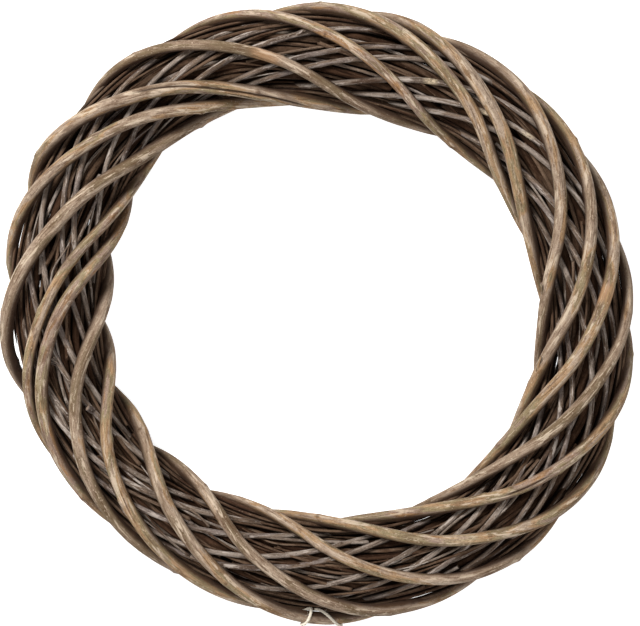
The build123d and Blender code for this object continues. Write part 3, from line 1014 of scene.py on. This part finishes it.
def add_twine(name, route, seed):
    rng = np.random.default_rng(seed)
    rows, grains, faces = [], [], []

    def add_strand(points, outward, side, radius, sides, start):
        flat = circle(sides)[None] * radius[:, None, None]
        index, quads = ring_faces(len(points), sides, sum(len(part) for part in rows))
        rows.append(ring_points(points, flat, outward, side).reshape(-1, 3))
        length = start + np.concatenate(((0,), np.cumsum(np.linalg.norm(np.diff(points, axis=0), axis=1))))
        grains.append(ring_grain(length, flat).reshape(-1, 3))
        faces.extend([*quads, index[0][::-1].tolist(), index[-1].tolist()])

    for ply in range(PLIES):
        twist = 360 * (route.length / PLY_PITCH + ply / PLIES)
        out = route.outward * cos(twist)[:, None] + route.side * sin(twist)[:, None]
        points = route.points + out * PLY_OFFSET
        from_end = np.minimum(route.length, route.length[-1] - route.length)
        tip = np.clip(from_end / PLY_TIP_LENGTH, PLY_TIP, 1)
        radius = PLY_RADIUS * tip * (1 + waver(rng, route.length, *PLY_CHANGE))
        along = unit(np.gradient(points, axis=0))
        side = unit(np.cross(along, out))
        add_strand(points, np.cross(side, along), side, radius, PLY_SIDES, PLY_GRAIN_STEP * ply)
    for _ in range(HAIRS):
        root = rng.integers(HAIR_MARGIN, len(route.points) - HAIR_MARGIN)
        turn = rng.uniform(0, 360)
        out = route.outward[root] * cos(turn) + route.side[root] * sin(turn)
        lean = unit(route.along[root] * rng.uniform(-1, 1) + out * rng.uniform(*HAIR_LEANS))
        steps = np.linspace(0, rng.uniform(*HAIR_LENGTHS), HAIR_SECTIONS)
        points = route.points[root] + out * HAIR_ROOT + steps[:, None] * lean
        curl = rng.uniform(-HAIR_CURL, HAIR_CURL)
        points += np.cross(out, route.along[root]) * (steps ** 2)[:, None] * curl
        side = unit(np.repeat(np.cross(lean, route.along[root] + 0.01)[None], HAIR_SECTIONS, axis=0))
        radius = np.linspace(*HAIR_RADII, HAIR_SECTIONS)
        add_strand(points, np.cross(side, lean), side, radius, HAIR_SIDES, PLY_GRAIN_STEP * PLIES)
    rows = np.concatenate(rows)
    mesh = bpy.data.meshes.new(f"{name}_plies")
    mesh.from_pydata((rows + ring_place) * MM, [], faces)
    mesh.polygons.foreach_set("use_smooth", np.ones(len(faces), dtype=bool))
    zeros = np.zeros(len(rows))
    set_point_values(mesh, np.concatenate(grains), {"shelter": zeros, "seed": zeros})
    mesh.update()
    mesh.materials.append(jute)
    twine = new_object(f"{name}_plies", mesh)
    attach(twine, "root")
    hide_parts(name)


add_twine("twine_tie", twine_route(outer_rods[TWINE_ROD - 1]), TWINE_SEED)


# ---- The stage: a pale floor, soft light and the camera ----
FLOOR_SIZE = 4.0
FLOOR_PAINT = (0.8, 0.8, 0.8, 1)
FLOOR_GLOW = 0.86
AMBIENT = 0.24
half = FLOOR_SIZE / 2
floor_mesh = bpy.data.meshes.new("floor")
floor_corners = [(x * half, y * half, 0) for x, y in ((-1, -1), (1, -1), (1, 1), (-1, 1))]
floor_mesh.from_pydata(floor_corners, [], [(0, 1, 2, 3)])
floor = new_object("floor", floor_mesh)
floor_nodes = Nodes(bpy.data.materials.new("floor_paint"))
floor_nodes.tree.nodes.remove(floor_nodes.tree.nodes["Principled BSDF"])
diffuse = floor_nodes.add("BsdfDiffuse", {"Color": FLOOR_PAINT})
glow = floor_nodes.add("Emission", {"Color": WHITE, "Strength": FLOOR_GLOW})
both = floor_nodes.add("AddShader", {0: diffuse, 1: glow})
shown = floor_nodes.add("MixShader", {0: floor_nodes.seen(), 1: diffuse, 2: both})
floor_nodes.set(floor_nodes.tree.nodes["Material Output"], {"Surface": shown})
floor_mesh.materials.append(floor_nodes.owner)

sky = Nodes(bpy.data.worlds.new("studio"))
bpy.context.scene.world = sky.owner
strength = sky.add("MapRange", {"Value": sky.seen(), "To Min": AMBIENT, "To Max": 1.0})
sky.set(sky.tree.nodes["Background"], {"Color": WHITE, "Strength": strength})


def add_softbox(name, place, size, power, colour):
    """A square lamp that faces the object."""
    data = bpy.data.lights.new(name, "AREA")
    data.shape = "SQUARE"
    data.size = size
    data.energy = power
    data.color = colour
    lamp = new_object(name, data)
    lamp.location = place
    lamp.rotation_euler = (-Vector(place)).to_track_quat("-Z", "Y").to_euler()


# Name, place and width in metres, watts, colour.
add_softbox("key", (-0.85, 0.95, 1.5), 0.6, 42, (1.0, 0.985, 0.96))
add_softbox("fill", (0.35, -0.8, 1.4), 1.0, 8, (1.0, 0.985, 0.965))

camera_data = bpy.data.cameras.new("camera")
camera_data.sensor_width = SENSOR
camera_data.lens = SENSOR * CAMERA_DISTANCE / VIEW_WIDTH
camera = new_object("camera", camera_data)
view_x, view_y = ring_place[:2] + VIEW_CENTRE
half_height = (cad_low[2] + cad_high[2]) / 2
camera.location = (view_x * MM, view_y * MM, half_height + CAMERA_DISTANCE * MM)
bpy.context.scene.camera = camera

bpy.context.scene.view_settings.view_transform = "Standard"
